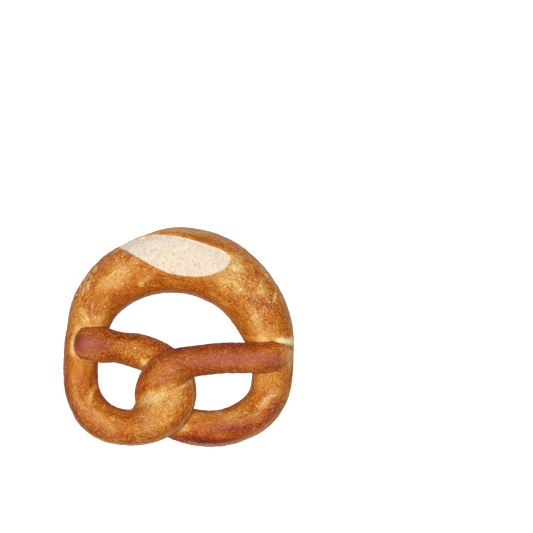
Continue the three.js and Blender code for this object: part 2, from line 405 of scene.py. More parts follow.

# Places darker or lighter than the rope around them, mostly from baking, though the crests' paler
# bands are painted sheen and the right end's lit edge is painted light: x, y, length, width,
# heading in degrees, and how much darker, or lighter below 0.
PATCHES = {
    "left end's dark cheek": (-61.5, 0, 2.4, 4.5, 0, 0.09),
    "pale crease under the right end": (71.5, -15.0, 2.4, 3.5, -30, -0.12),
    # painted light on the right end's edge
    "lit edge of the right end": (73.0, -11.0, 1.6, 3.5, -15, -0.12),
    "left belly's pale cheek": (-38, 41, 11, 6.5, 48, -0.13),
    "left belly's inner shoulder": (-36.5, 26.5, 14, 5, 48, 0.09),
    "pale blot on the inner shoulder": (-23, 34.3, 4.5, 2.6, 25, -0.20),
    "pink patch above the left end": (-53.5, 21, 4, 5, 70, 0.02),
    "cream smear above the left end": (-60, 16, 6, 1.8, -60, -0.17),
    "gold above the left end": (-55, 12, 9, 3, 5, -0.13),
    "gold by the split's right tip": (38.5, 47.5, 8, 4, -35, -0.22),
    "right belly's pale cheek": (35, 33, 9, 5, -30, -0.14),
    "speckled place on the inner shoulder": (25.5, 26.0, 5, 2.4, -35, -0.08),
    "right belly's shoulder": (19, 33, 7, 4, -20, 0.08),
    "right belly's middle": (44.5, 18.5, 5, 4, -50, 0.08),
    "right belly's outer middle": (54, 35, 6, 4, -60, -0.05),
    "right belly's lower outside": (61, 7, 5, 5, -80, -0.08),
    "brown band on the right belly": (44, 26, 13, 2.6, -28, 0.10),
    "pink patch on the right belly": (54.7, 23.3, 5, 3.5, -60, 0.08),
    "gold above the right end": (51, 10, 9, 6, -60, -0.15),
    "right belly's inner shoulder": (33, 24, 12, 4, -45, -0.06),
    "pale streak on the right outside": (57, 40, 7, 1.6, -55, -0.18),
    "split's upper lip": (4, 69, 20, 2.6, -6, -0.20),
    "left loop's inner band": (-55.8, -27, 8, 3, 90, -0.10),
    "left loop's pale fleck": (-55.3, -36, 6, 1.8, 75, -0.26),
    "right arm's knot end": (-11, -29, 7, 4, 20, -0.15),
    "fold where the arm leaves the knot": (2, -24, 6, 4, 25, -0.12),
    "pale stretch at the knot": (-16.5, -37.6, 10, 3.4, 25, -0.15),
    "brown above the stretch": (-18, -31.6, 9, 2.6, 25, 0.14),
    "gold beside the stretch": (-5, -32.6, 9, 2.4, 12, -0.08),
    "gold by the crossing": (-22, -15.5, 4, 2.5, -40, -0.20),
    "left belly's dark outside": (-64, 22, 3.4, 8, 15, 0.08),
    "left belly's outer cheek": (-58, 37, 10, 4, 58, -0.10),
    "golden inner shoulder": (31, 21, 13, 3.6, -50, -0.09),
    "left arm's lower edge": (-31, -14, 12, 3, -12, 0.10),
    "knot's left flank": (-20, -24, 4, 8, -10, 0.07),
    "foot of the knot": (-25, -64, 9, 3.5, 5, 0.07),
    "dark tip by the split": (-32, 52.5, 6, 3, 35, 0.12),
    "dark band inside the left rim": (-46, 48.5, 13, 2.0, 42, 0.05),
    # painted sheen along the left loop's crest
    "left loop's crest": (-49, -53.5, 17, 3.2, -40, -0.11),
    "left loop's inner foot": (-38, -53, 8, 3.5, -10, 0.06),
    "torn crumb at the knot": (4.5, -30.6, 3.4, 1.0, 15, -0.36),
    "gold below the stretch": (-10, -41, 12, 6, 30, -0.06),
    "left arm's dark lower end": (-13, -10, 6, 4, -30, 0.08),
    "left loop's foot": (-36, -62, 12, 4, 5, 0.08),
    "knot's right edge": (6.6, -42, 2.4, 5, 0, -0.08),
    "right arm's middle": (18, -14, 20, 6, 4, 0.04),
    "speckled pink cheek of the left loop": (-19, -52, 5, 4, 30, -0.06),
    "pale edge of the right arm's turn": (9.4, -27.6, 2.2, 1.0, 20, -0.35),
    "gold of the right side": (56, -26, 7, 5, 80, -0.06),
    "brown of the right side": (57, -36, 7, 5, 70, 0.06),
    "pale place by the flakes": (56.5, -40.5, 6, 3, 38, -0.08),
    "dark patch on the right loop": (63.5, -44.7, 4, 3, 50, 0.16),
    # painted sheen along the right loop's crest
    "right loop's crest": (28, -53.0, 20, 2.4, 8, -0.12),
    "right loop's crest further up": (51.5, -46.5, 8, 2.2, 45, -0.10),
    "right loop's dark flank": (32, -59.5, 22, 3.4, 12, 0.19),
    "right loop's dark side": (58, -51, 10, 3, 48, 0.10),
    "right loop's foot": (16, -66.5, 16, 2.8, 0, 0.15),
    "right loop's gold inner edge": (24, -49.5, 18, 2.2, 5, -0.10),
    "gold spot under the knot": (5.3, -59.1, 4, 2.4, 0, -0.31),
    "gold tip of the right arm": (71, -10, 4.5, 7, 0, -0.16),
    "gold along the right arm": (52, 0.5, 11, 2.6, 2, -0.24),
    "pale streak by the split's right tip": (38.5, 44.5, 6, 1.6, -30, -0.14),
    "pale blot on the right belly": (31, 35.5, 4, 1.8, -10, -0.12),
    "second pale blot on the right belly": (40, 31, 4, 2.2, -60, -0.07),
    "third pale blot on the right belly": (53.5, 32, 5, 2.0, -60, -0.14),
    "pale streak on the right belly": (62, 26, 3, 0.9, 75, -0.30),
    "cheek under the left end": (-66, -21, 5, 7, 0, -0.05),
}

# Places where the crust is more blistered and speckled, or smoother below 0:
# x, y, length, width, heading in degrees, how much.
GRAINY = {
    "left side under the end": (-65, -25, 10, 8, 90, -0.40),
    "left loop's crest": (-56, -48, 14, 6, -50, -0.30),
    "left end's heart": (-58, -4, 10, 7, 0, -0.25),
    "left belly's middle": (-46, 30, 10, 6, 55, -0.20),
    "left arm": (-32, -9, 16, 8, -10, -0.2),
    "above the left end": (-57, 14, 9, 6, 70, 0.35),
    "left belly's outside": (-58, 38, 12, 4, 55, 0.40),
    "right belly": (42, 32, 24, 14, -45, 0.28),
    "knot": (-6, -42, 13, 9, 40, 0.10),
    "right arm": (34, -13, 38, 8, 2, -0.06),
    "right loop's foot": (30, -63, 26, 7, 8, -0.35),
    "right loop's crest": (42, -49, 22, 5, 22, 0.25),
    "middle of the left loop": (-30, -58, 12, 6, 0, -0.10),
}

# Places where long flat blisters rose along the rope: x, y, length, width, heading, how much.
BLISTERED = {
    "left belly's outside": (-58.5, 31, 20, 5.5, 62, 0.5),
    "left belly by the split": (-43, 52, 12, 3.5, 40, 0.5),
    "right belly's outside": (56, 38, 18, 4.5, -52, 0.5),
    "right belly's middle": (44, 34, 12, 7, -50, 0.3),
    "right loop's foot": (34, -64, 26, 4.5, 10, 0.3),
    "split's upper lip": (8, 68.5, 26, 3, -8, 0.4),
    "left loop's foot": (-32, -64, 14, 4, -5, 0.35),
}

# Single marks big enough to stand out: x, y, half length, half width, heading in degrees, how much
# paler, or darker below 0, and whether they are blisters with a browned rim (1), plain streaks (0)
# or whitish flakes that are partly painted glints (-1).
MARKS = {
    "great blister on the left belly": (-53.0, 44.2, 2.9, 1.4, 60, 0.18, 1),
    "long blister on the left belly": (-57.2, 33.6, 3.6, 1.3, 76, 0.17, 1),
    "small blister on the left belly": (-53.6, 37.0, 1.1, 0.9, 0, 0.20, 1),
    "narrow blister at the left rim": (-60.6, 29.5, 2.6, 0.8, 78, 0.15, 1),
    "low blister at the left rim": (-65.3, 27.6, 1.5, 0.9, 80, 0.20, 1),
    "outer blister at the left rim": (-63.0, 33.0, 1.8, 0.8, 70, 0.15, 1),
    "upper blister at the left rim": (-46.5, 52.0, 2.6, 0.9, 40, 0.15, 1),
    "blister on the inner shoulder": (-23.1, 34.4, 2.3, 1.6, 20, 0.10, 1),
    "bubble by the split": (-35.2, 52.2, 0.8, 0.8, 0, 0.24, 1),
    "second bubble by the split": (-39.0, 49.6, 0.9, 0.7, 0, 0.22, 1),
    "third bubble by the split": (-25.4, 48.0, 0.9, 0.9, 0, 0.16, 1),
    "streak on the inner shoulder": (-14.6, 34.0, 2.6, 0.5, -6, 0.22, 0),
    "yellow streak on the left belly": (-41.5, 41.2, 4.2, 0.9, 40, 0.14, 0),
    "second yellow streak": (-33.5, 43.0, 3.6, 0.9, 15, 0.12, 0),
    "speckle above the left arm": (-45.2, 25.6, 1.8, 0.6, 65, 0.20, 0),
    "bubble above the left arm": (-46.5, 20.5, 0.9, 0.9, 0, 0.22, 1),
    "cream streak above the left end": (-60.2, 16.5, 3.6, 1.1, -60, 0.07, 0),
    "streak on the right outside": (62.0, 26.6, 2.6, 0.9, 72, 0.20, 0),
    "blot on the right belly": (54.4, 28.6, 3.2, 0.9, -62, 0.16, 0),
    "second blot on the right belly": (53.4, 34.0, 2.2, 0.9, -60, 0.12, 1),
    "third blot on the right belly": (57.2, 40.0, 2.2, 0.8, -50, 0.14, 1),
    "fourth blot on the right belly": (49.6, 27.0, 3.0, 0.6, -62, 0.14, 0),
    "fifth blot on the right belly": (50.6, 15.6, 2.4, 0.8, -75, 0.12, 0),
    "bar on the right belly": (32.0, 35.4, 3.8, 1.3, -4, 0.10, 0),
    "second bar on the right belly": (39.5, 32.0, 3.4, 1.2, -60, 0.04, 0),
    "bar by the split's right tip": (38.5, 46.4, 4.6, 1.2, -12, 0.08, 0),
    "second bar by the split's tip": (43.8, 42.6, 2.8, 0.8, -60, 0.08, 1),
    # whitish flakes on the right loop's crest, partly painted glints
    "top glinting flake": (61.0, -36.8, 2.6, 0.55, 14, 0.85, -1),
    "long glinting flake": (57.0, -38.8, 1.8, 0.55, 30, 0.70, -1),
    "middle glinting flake": (55.2, -41.4, 1.6, 0.5, 40, 0.60, -1),
    "low glinting flake": (53.0, -43.6, 1.2, 0.5, 26, 0.55, -1),
    "outer glinting flake": (58.6, -41.4, 1.2, 0.5, 34, 0.50, -1),
    "glinting flake beyond it": (56.6, -44.2, 1.0, 0.5, 50, 0.32, -1),
    "glinting flake on the crest": (51.4, -48.2, 1.3, 0.6, 20, 0.36, -1),
    "glinting flake before it": (48.6, -49.6, 1.0, 0.5, 40, 0.30, -1),
    "upright glinting flake": (48.8, -58.2, 1.2, 0.5, 70, 0.28, -1),
    "fold inside the left side": (-55.6, -25.5, 8.4, 1.1, 78, -0.08, 0),
    "top streak at the knot": (-17.6, -36.0, 4.6, 0.7, 28, 0.12, 0),
    "second streak at the knot": (-20.0, -38.4, 4.8, 0.7, 24, 0.14, 0),
    "third streak at the knot": (-21.0, -40.6, 3.6, 0.6, 18, 0.12, 0),
    "fourth streak at the knot": (-10.4, -35.2, 4.2, 0.6, 20, 0.10, 0),
    "yellow fleck inside the left loop": (-55.8, -37.4, 2.6, 0.9, 72, 0.20, 0),
    "second yellow fleck": (-48.6, -44.4, 1.6, 1.0, 50, 0.18, 0),
    "third yellow fleck": (-42.2, -52.0, 2.0, 1.2, -20, 0.18, 0),
    "fleck on the left loop": (-22.8, -50.0, 1.6, 1.0, 0, 0.18, 0),
    "corner of the left arm": (-22.4, -15.4, 2.8, 1.5, -48, 0.20, 0),
    "bubble on the left arm": (-28.0, -6.6, 0.9, 0.8, 0, 0.16, 1),
}

# Thin lines that run along the rope near its edges: from one station to another, how far to the
# left of the crest as a share of the half width, how wide, how much darker, and how much pale
# dust, mostly painted sheen of the floor reflected at the grazing edge.
RIMS = {
    "left loop's pinched edge": (5.4, 8.5, 0.90, 0.05, -0.05, 0.18),
    # painted shade in the crease inside the pinched edge
    "crease inside the pinched edge": (5.6, 8.4, 0.72, 0.05, 0.05, 0.0),
    "right loop's outer rim": (22.0, 25.6, 1.0, 0.22, -0.06, 0.56),
    "left loop's outer band": (9.8, 13.2, 0.78, 0.13, 0.08, 0.0),
    "right side's outer rim": (21.4, 23.0, 1.0, 0.10, 0.0, 0.52),
    "left loop's outer rim": (9.8, 13.4, 1.0, 0.08, 0.0, 0.36),
    "left side's outer rim": (13.0, 15.5, 1.0, 0.08, 0.0, 0.48),
    "belly's inner rim": (13.6, 19.8, -1.0, 0.08, 0.0, 0.45),
    "belly's outer rim": (15.0, 20.8, 1.0, 0.11, 0.0, 0.56),
    "left arm's lower rim": (2.0, 3.6, -1.0, 0.06, 0.0, 0.25),
    "left arm's upper rim": (2.6, 4.0, 1.0, 0.06, 0.0, 0.20),
    "left loop's pinkish foot": (7.6, 11.4, 0.97, 0.13, -0.12, 0.42),
    # the edges facing the holes are darker: painted shade
    "left loop's inner edge": (8.6, 12.4, -1.0, 0.12, 0.08, 0.0),
    "right loop's inner edge": (22.0, 25.8, -1.0, 0.10, 0.08, 0.0),
    "right arm's upper edge": (28.4, 35.0, 0.82, 0.22, 0.05, 0.0),
}

# Places with a painted pinkish sheen, light reflected off the glossy crust: x, y, length, width,
# heading in degrees, how much.
PAINTED_SHEEN = {
    "left end's heart": (-56, -4, 8.2, 6.5, 0, 0.60),
    "left arm's neck": (-45, -5, 9, 4, 0, 0.32),
    "right arm": (38, -13.5, 38, 5.0, 2, 0.52),
    "right arm's turn": (-5, -22, 13, 5.5, 38, 0.35),
    "pink patch above the left end": (-53.5, 20, 5, 5, 70, 0.25),
    "pink patch on the right belly": (52, 24, 8, 4, -40, 0.28),
    "right loop's crest": (33, -55, 22, 3, 10, 0.35),
    "dark patch on the right loop": (62, -44, 6, 4, 60, 0.25),
    "left loop's cheek": (-19, -53, 8, 5, 20, 0.30),
    "right loop's crest sheen": (40, -52, 16, 3, 12, 0.15),
    "belly's outer rim": (14, 69.5, 28, 2.8, -12, 0.72),
    "left belly's outer rim": (-43, 56, 14, 3.0, 42, 0.35),
}

# Places with pale dust, or a painted pale sheen on a crest or rim: x, y, length, width, heading in
# degrees, how much.
DUST_AND_SHEEN = {
    "left loop's crest sheen": (-52, -53, 19, 3.4, -42, 0.12),
    "wedge above the right end": (70.5, -2.0, 4, 2.2, -20, 0.10),
    "belly's outer top": (20, 68, 14, 2.0, -24, 0.22),
    "torn crumb at the knot": (5.0, -30.8, 3.2, 1.0, 15, 0.3),
}

# Pale dough that shows where one strand pulled away from another beside the seam:
# x, y, length, width, heading, how crisp, how wide the pale strip is, and how pale.
PALE_SEAMS = {
    "crescent beyond the left end": (-69.5, -4.5, 8, 9, 0, 2, 3.9, 0.58),
    "crescent's upper half": (-66.5, 5.0, 5, 5, 0, 1.3, 3.6, 0.45),
    "round the left end's top": (-56, 8, 9, 9, 0, 1.3, 2.4, 0.35),
    "round the left end's foot": (-58, -14, 9, 9, 0, 1.3, 1.1, 0.35),
    "wedge above the right end": (69.4, -1.6, 7.6, 2.4, -8, 2.2, 9.0, 1.0),
    "under the right end": (64, -20, 9, 6, 20, 2, 1.8, 0.25),
    "where the arms cross": (-14, -14, 12, 12, 0, 1.3, 0.8, 0.30),
    "left arm's pale corner": (-23, -15.5, 4, 4, 0, 1.3, 3.0, 0.35),
    "left loop over the right one": (4, -55, 12, 12, 0, 1.3, 1.4, 0.25),
}

# Limits and sizes of the looks, in mm unless they say otherwise.
MARKS_ABOVE = 6  # no single mark lies lower than this height
NO_MARK = (9, 9, 0)  # stands for a place far from every mark
BLISTERS_ABOVE = 3  # nor any long blister lower than this one
SEAM_REACH = 9.0  # mm from a seam, or from the split's outline, past which it doesn't count
STRANGERS_FROM = 30  # limbs at least this far apart along the rope meet in a seam
RIM_FADE = 0.8  # stations over which a rim starts and stops
# the rims' pale dust is mostly painted sheen of reflected light
LOW_RIM_SHEEN, HIGH_RIM_SHEEN = 0.08, 0.7  # share of a rim's dust below the widest level, and above
RIM_SHEEN_RISE = (-2, 4)  # heights from the widest level between which it grows
# the right end's tip is kept clear of dust and painted sheen
CLEAN_TIP = (71.5, -11, 4, 8, 0)  # the right end's tip has no dust: a patch, as in the tables
EVEN_GRAIN = 0.55  # how grainy the crust is where no table says more or less
# The dark band outside the split's upper edge: a crisp patch, how far out, width and browning.
BAND_PLACE = (17, 65, 22, 7, -18, 3)
BAND_OUT, BAND_WIDTH, BAND_BROWNING = 2.1, 1.4, 0.13
FOOT_FADE, FOOT_BROWNING = (9.0, 3.0), 0.45  # golden crust low on the flanks
LATTICE = 24  # noise values along each side of the block that a cloud repeats


def cloud(points, size, seed):
    """Smooth noise from -1 to 1, with humps about that many mm across."""
    lattice = np.random.default_rng(seed).uniform(-1, 1, (LATTICE, LATTICE, LATTICE))
    cell = np.asarray(points, float) / size
    base = np.floor(cell).astype(int)
    f = cell - base
    f = f * f * (3 - 2 * f)
    total = np.zeros(len(cell))
    for corner in np.ndindex(2, 2, 2):
        share = np.prod(np.where(corner, f, 1 - f), axis=1)
        total += share * lattice[tuple(((base + corner) % LATTICE).T)]
    return total


def within(spots, x, y, length, width, heading):
    """How far places lie ahead and aside of a patch's middle, in its lengths and widths."""
    turn = math.radians(heading)
    gap = spots - (x, y)
    ahead = (gap[:, 0] * math.cos(turn) + gap[:, 1] * math.sin(turn)) / length
    aside = (gap[:, 1] * math.cos(turn) - gap[:, 0] * math.sin(turn)) / width
    return ahead, aside


def patch(spots, x, y, length, width, heading, crisp=1.3):
    """1 in the middle of a patch and 0 well outside it, with a soft edge or a crisp one."""
    ahead, aside = within(spots, x, y, length, width, heading)
    return np.exp(-((ahead**2 + aside**2) ** crisp))


def added(values, table, spots):
    """The values with every patch of a table added to them."""
    for *where, amount in table.values():
        values = values + amount * patch(spots, *where)
    return values


def strongest(table, spots):
    """The strongest of a table's patches at each place."""
    best = np.zeros(len(spots))
    for *where, amount in table.values():
        best = np.maximum(best, amount * patch(spots, *where))
    return best


def nearest_mark(points):
    """Where points lie in the nearest of the single marks, how pale it is, and its kind."""
    spots = points[:, :2]
    spots = spots + 0.4 * np.column_stack([cloud(points, 2.5, 21), cloud(points, 2.5, 22)])
    best = np.full(len(points), FAR_OFF)
    local = np.zeros((len(points), 3))
    kinds = np.zeros(len(points))
    for x, y, length, width, heading, amount, kind in MARKS.values():
        ahead, aside = within(spots, x, y, length, width, heading)
        away = np.hypot(spots[:, 0] - x, spots[:, 1] - y) - (length + width) / 2
        closer = away < best
        best[closer] = away[closer]
        local[closer] = np.column_stack([ahead, aside, np.full(len(ahead), amount)])[closer]
        kinds[closer] = kind
    local[points[:, 2] < MARKS_ABOVE] = NO_MARK
    return local, kinds


def baked_along(place, waver):
    """How browned points are by where they lie along a limb and across it."""
    table = np.array(BAKING)
    right, crest, left = (np.interp(place["station"], table[:, 0], table[:, i]) for i in (1, 2, 3))
    leaning = np.clip(place["side"] / place["half"], -1, 1) + waver
    toward = np.where(leaning > 0, left, right)
    return crest + (toward - crest) * smoothstep(0.2, 0.8, np.abs(leaning))


def reach_past(place):
    """How far points lie towards the tip of a limb's rounded end, as a share of its length."""
    length, _ = place["dome"] or (FAR_OFF, 2.0)
    return np.where(place["open_end"], 0, place["past"] / length)


def crust_marks(points):
    """What the baking, the rope's way and the painted sheen and shade give to every point of the
    skin.
    """
    _, places, reaches = field(points)
    names = list(LIMBS)
    order = np.array([reaches[name] for name in names])
    nearest = order.argmin(0)
    pick = np.arange(len(points))

    def own(key):
        return np.array([places[name][key] for name in names])[nearest, pick]

    run, side, level, station = own("run"), own("side"), own("level"), own("station")
    half, rise, drop = own("half"), own("rise"), own("drop")
    up = points[:, 2] - level
    tall = np.where(up > 0, rise, drop)
    lean = np.clip(side / half, -1, 1)
    dome = np.array([reach_past(places[name]) for name in names])[nearest, pick]
    # the crust is duller on the sides, at the tips and below the widest level
    dull = np.maximum(smoothstep(0.72, 0.96, np.abs(lean)), smoothstep(0.45, 0.8, dome))
    dull = np.maximum(dull, smoothstep(0, -4, up))
    turn = np.arctan2(side / half, up / tall)
    girth = turn * (half + rise) / 2

    waver = 0.12 * cloud(points, 7, 13)
    browned = np.array([baked_along(places[name], waver) for name in names])
    browning = browned[nearest, pick]
    other = browning.copy()
    seam = np.full(len(points), SEAM_REACH)
    for i, name in enumerate(names):
        apart = np.abs(places[name]["run"] - run)
        gap = order[i] - order[nearest, pick]
        stranger = (i != nearest) & (apart > STRANGERS_FROM) & (gap < np.abs(seam))
        above = np.where(places[name]["level"] > level, -1, 1)
        seam = np.where(stranger, gap * above, seam)
        other = np.where(stranger, browned[i], other)
    fused = softness(points[:, :2]) - CREASE
    shared = 0.5 * (1 - smoothstep(0, np.maximum(0.6 * fused, 0.1), np.abs(seam)))
    browning = browning + (other - browning) * shared
    seam = seam + np.where(seam < 0, -0.5, 0.5) * fused

    spots = points[:, :2] + 1.6 * np.column_stack([cloud(points, 5, 11), cloud(points, 5, 12)])
    way = np.column_stack([run / 2.2, girth, np.zeros(len(run))])
    browning = browning + 0.05 * cloud(points, 9, 14) + 0.08 * cloud(way, 4, 15)
    browning = browning + 0.045 * cloud(way, 2.2, 16)
    browning = added(browning, PATCHES, spots)
    # pale dust, and painted sheen where rims and crests catch reflected light
    dust_and_sheen = strongest(DUST_AND_SHEEN, spots)
    lit = LOW_RIM_SHEEN + (HIGH_RIM_SHEEN - LOW_RIM_SHEEN) * smoothstep(*RIM_SHEEN_RISE, up)
    for first, last, middle, width, amount, dust_and_sheen_share in RIMS.values():
        line = np.exp(-(((lean - middle) / width) ** 4))
        starts = smoothstep(first, first + RIM_FADE, station)
        kept = starts * smoothstep(last, last - RIM_FADE, station)
        browning = browning + amount * line * kept
        dust_and_sheen = np.maximum(dust_and_sheen, dust_and_sheen_share * line * kept * lit)
    dust_and_sheen = dust_and_sheen * (1 - patch(spots, *CLEAN_TIP))
    pale = np.zeros(len(points))
    for *where, strip, amount in PALE_SEAMS.values():
        beside_seam = (seam < 0) * (1 - smoothstep(0.75 * strip, 1.15 * strip, -seam))
        paleness = amount * (1 - 0.1 * smoothstep(1, 6, -seam))
        pale = np.maximum(pale, beside_seam * patch(spots, *where) * paleness)
    # the ring's side towards the holes is smoother
    inner_side = smoothstep(8, 10, station) * smoothstep(27, 25, station)
    inner_side = inner_side * smoothstep(0.3, 0.8, -lean)
    grainy = EVEN_GRAIN - 0.35 * inner_side + 0.25 * cloud(points, 14, 17)
    grainy = added(grainy, GRAINY, spots)
    split = np.minimum(inside_split(points[:, :2]), points[:, 2] - SPLIT_FROM)
    band = np.exp(-(((split + BAND_OUT) / BAND_WIDTH) ** 2)) * patch(spots, *BAND_PLACE)
    browning = browning + BAND_BROWNING * band
    foot = smoothstep(*FOOT_FADE, points[:, 2] + 8 * waver)
    browning = browning + (FOOT_BROWNING - browning) * 0.7 * foot
    browning = browning + 0.16 * smoothstep(2.0, 0.2, points[:, 2])  # where it lay on the tray
    mark, kind = nearest_mark(points)
    return {
        "mark": mark,
        "mark_kind": kind,
        "rope": np.column_stack([run, girth, np.zeros(len(run))]),
        "browning": browning,
        # the painted pinkish sheen of reflected light
        "painted_sheen": strongest(PAINTED_SHEEN, spots),
        "grainy": np.clip(grainy, 0, 1.3),
        "blistered": np.where(points[:, 2] > BLISTERS_ABOVE, strongest(BLISTERED, spots), 0),
        "dust_and_sheen": dust_and_sheen,
        "dull": dull,
        "pale": pale,
        # how far the surface leans outward; the crumb is painted lighter there as painted light
        "outward": smoothstep(0.15, 0.95, lean),
        "seam": np.clip(seam, -SEAM_REACH, SEAM_REACH),
        "split": np.clip(split, -SEAM_REACH, SEAM_REACH),
    }


points, faces = skin()
marks = crust_marks(points)

mesh = bpy.data.meshes.new("pretzel crust")
mesh.from_pydata((points * MM).tolist(), [], faces.tolist())
# a volume below nothing means that the faces point inwards
volume = 0.0
for polygon in mesh.polygons:
    volume += mesh.vertices[polygon.vertices[0]].co.dot(polygon.normal) * polygon.area
if volume < 0:
    mesh.flip_normals()
for name, values in marks.items():
    kind, key = ("FLOAT_VECTOR", "vector") if values.ndim == 2 else ("FLOAT", "value")
    layer = mesh.attributes.new(name, kind, "POINT")
    layer.data.foreach_set(key, values.astype(np.float32).ravel())
mesh.polygons.foreach_set("use_smooth", [True] * len(mesh.polygons))
mesh.update()
pretzel = bpy.data.objects.new("pretzel_crust", mesh)
bpy.context.scene.collection.objects.link(pretzel)


# ---------------------------------------------------------------- node trees
# Where a Mix node has its share, its two inputs and its output, for colours and for numbers.
MIX_SOCKETS = {"RGBA": (0, 6, 7, 2), "FLOAT": (0, 2, 3, 0)}


class Tree:
    """Short words for building a node tree."""

    def __init__(self, tree):
        self.nodes, self.links = tree.nodes, tree.links

    def add(self, kind, settings=None, **inputs):
        """A new node with its settings, and its inputs by name, with _ for a space."""
        node = self.nodes.new(kind)
        for name, value in (settings or {}).items():
            setattr(node, name, value)
        for name, value in inputs.items():
            self.put(node.inputs[name.replace("_", " ")], value)
        return node

    def put(self, socket, value):
        """Links an output to the socket, or sets its plain value."""
        if isinstance(value, bpy.types.NodeSocket):
            self.links.new(value, socket)
        else:
            socket.default_value = value

    def worked(self, kind, operation, values):
        """The result of a sum on plain values and outputs."""
        node = self.add(kind, {"operation": operation})
        for socket, value in zip(node.inputs, values):
            self.put(socket, value)
        return node.outputs[0]

    def math(self, operation, *values):
        return self.worked("ShaderNodeMath", operation, values)

    def vector(self, operation, *values):
        return self.worked("ShaderNodeVectorMath", operation, values)

    def times(self, a, b):
        return self.math("MULTIPLY", a, b)

    def plus(self, a, b):
        return self.math("ADD", a, b)

    def minus(self, a, b):
        return self.math("SUBTRACT", a, b)

    def larger(self, a, b):
        return self.math("MAXIMUM", a, b)

    def scaled(self, vector, factor):
        """A vector times a number."""
        moved = self.vector("SCALE", vector)
        self.put(moved.node.inputs["Scale"], factor)
        return moved

    def between(self, value, low, high, to_low=0.0, to_high=1.0):
        """Maps low..high to to_low..to_high, smoothly, and no further."""
        limits = {"From_Min": low, "From_Max": high, "To_Min": to_low, "To_Max": to_high}
        smooth = {"interpolation_type": "SMOOTHSTEP"}
        return self.add("ShaderNodeMapRange", smooth, Value=value, **limits).outputs[0]

    def noise(self, vector, scale, detail=2.0, roughness=0.5, distortion=0.0):
        shape = {"Detail": detail, "Roughness": roughness, "Distortion": distortion}
        return self.add("ShaderNodeTexNoise", Vector=vector, Scale=scale, **shape).outputs[0]

    def cells(self, vector, scale):
        """The distance from the nearest of scattered points, and a chance value for each."""
        outputs = self.add("ShaderNodeTexVoronoi", Vector=vector, Scale=scale).outputs
        return outputs["Distance"], outputs["Color"]

    def mix(self, share, a, b, kind="RGBA"):
        """a where the share is 0 and b where it is 1."""
        node = self.add("ShaderNodeMix", {"data_type": kind})
        share_in, a_in, b_in, out = MIX_SOCKETS[kind]
        for socket, value in ((share_in, share), (a_in, a), (b_in, b)):
            self.put(node.inputs[socket], value)
        return node.outputs[out]


def new_group(name, kind, inputs, outputs):
    """An empty node group, its tree, and what it is given and gives, as named sockets."""
    group = bpy.data.node_groups.new(name, kind)
    for way, sockets in (("INPUT", inputs), ("OUTPUT", outputs)):
        for label, socket_kind, *default in sockets:
            socket = group.interface.new_socket(label, in_out=way, socket_type=socket_kind)
            if default:
                socket.default_value = default[0]
    tree = Tree(group)
    return group, tree, tree.add("NodeGroupInput").outputs, tree.add("NodeGroupOutput").inputs


NUMBER, COLOUR, VECTOR = "NodeSocketFloat", "NodeSocketColor", "NodeSocketVector"

# Sizes of the crust's small forms, in mm.
SMALL_FORMS = {
    "Blister length": 3.4,
    "Blister width": 1.7,
    "Blister height": 0.22,
    "Long blister length": 7.5,
    "Long blister width": 3.0,
    "Long blister height": 0.35,
    "Wrinkle length": 16.0,
    "Wrinkle width": 2.6,
    "Wrinkle height": 0.16,
    "Uneven size": 17.0,
    "Uneven height": 0.45,
    "Pore size": 1.5,
    "Pore depth": 0.16,
}
LONG_SEED = 4.0


def long_blisters(tree, lying, blistered):
    """The domes of the long blisters and the browned rims round them, each from 0 to 1."""
    bent = tree.vector("MULTIPLY_ADD", tree.noise(lying, 1.3, 1.0), (0.5, 0.5, 0.0), lying)
    away, chance = tree.cells(bent, 1.0)
    chosen = tree.times(tree.between(chance, 0.40, 0.50), blistered)
    domes = tree.times(tree.between(away, 0.50, 0.34), chosen)
    rims = tree.times(tree.between(away, 0.36, 0.50), tree.between(away, 0.80, 0.60))
    return domes, tree.times(rims, chosen)


def single_mark(tree, mark, place_mm):
    """How far inside a single mark and on its rim, from 0 to 1, and how much paler it is."""
    ahead, aside, amount = tree.add("ShaderNodeSeparateXYZ", Vector=mark).outputs
    ragged = tree.minus(tree.noise(place_mm, 0.8, 2.0, 0.6), 0.5)
    square = tree.math("MULTIPLY_ADD", ahead, ahead, tree.times(aside, aside))
    away = tree.math("MULTIPLY_ADD", ragged, 1.8, tree.math("SQRT", square))
    inside = tree.between(away, 1.15, 0.75)
    rim = tree.times(tree.between(away, 0.9, 1.2), tree.between(away, 1.9, 1.35))
    return inside, rim, amount


